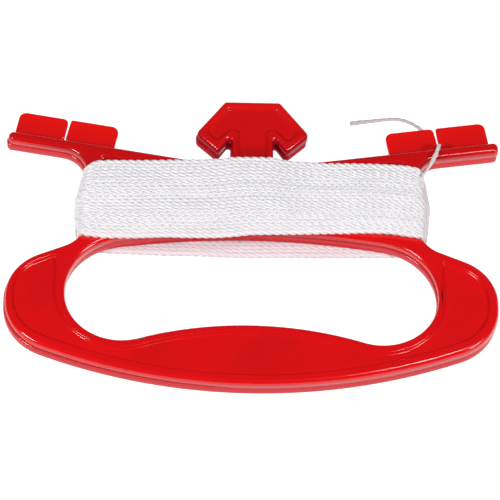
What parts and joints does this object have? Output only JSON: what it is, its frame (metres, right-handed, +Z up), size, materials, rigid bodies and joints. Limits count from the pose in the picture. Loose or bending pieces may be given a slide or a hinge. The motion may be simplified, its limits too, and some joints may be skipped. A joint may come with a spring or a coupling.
{
  "type": "kite string winder",
  "caption": "Flat moulded hand winder with a looped grip, a line wound round its waist, slotted cleat arms and a hooked head.",
  "frame": {"origin": "the middle of the part's footprint, on the surface it rests on", "axes": "+X along the grip, +Y from the grip towards the hooked head, +Z up from the surface the winder lies on"},
  "size_m": [0.1992, 0.1372, 0.0127],
  "materials": {
    "red_plastic": "glossy moulded plastic",
    "white_line": "twisted white synthetic line, matt with a faint sheen"
  },
  "bodies": {
    "root": {"frame": "red_plastic", "wound_line": "white_line", "line_end": "white_line"}
  },
  "joints": []
}
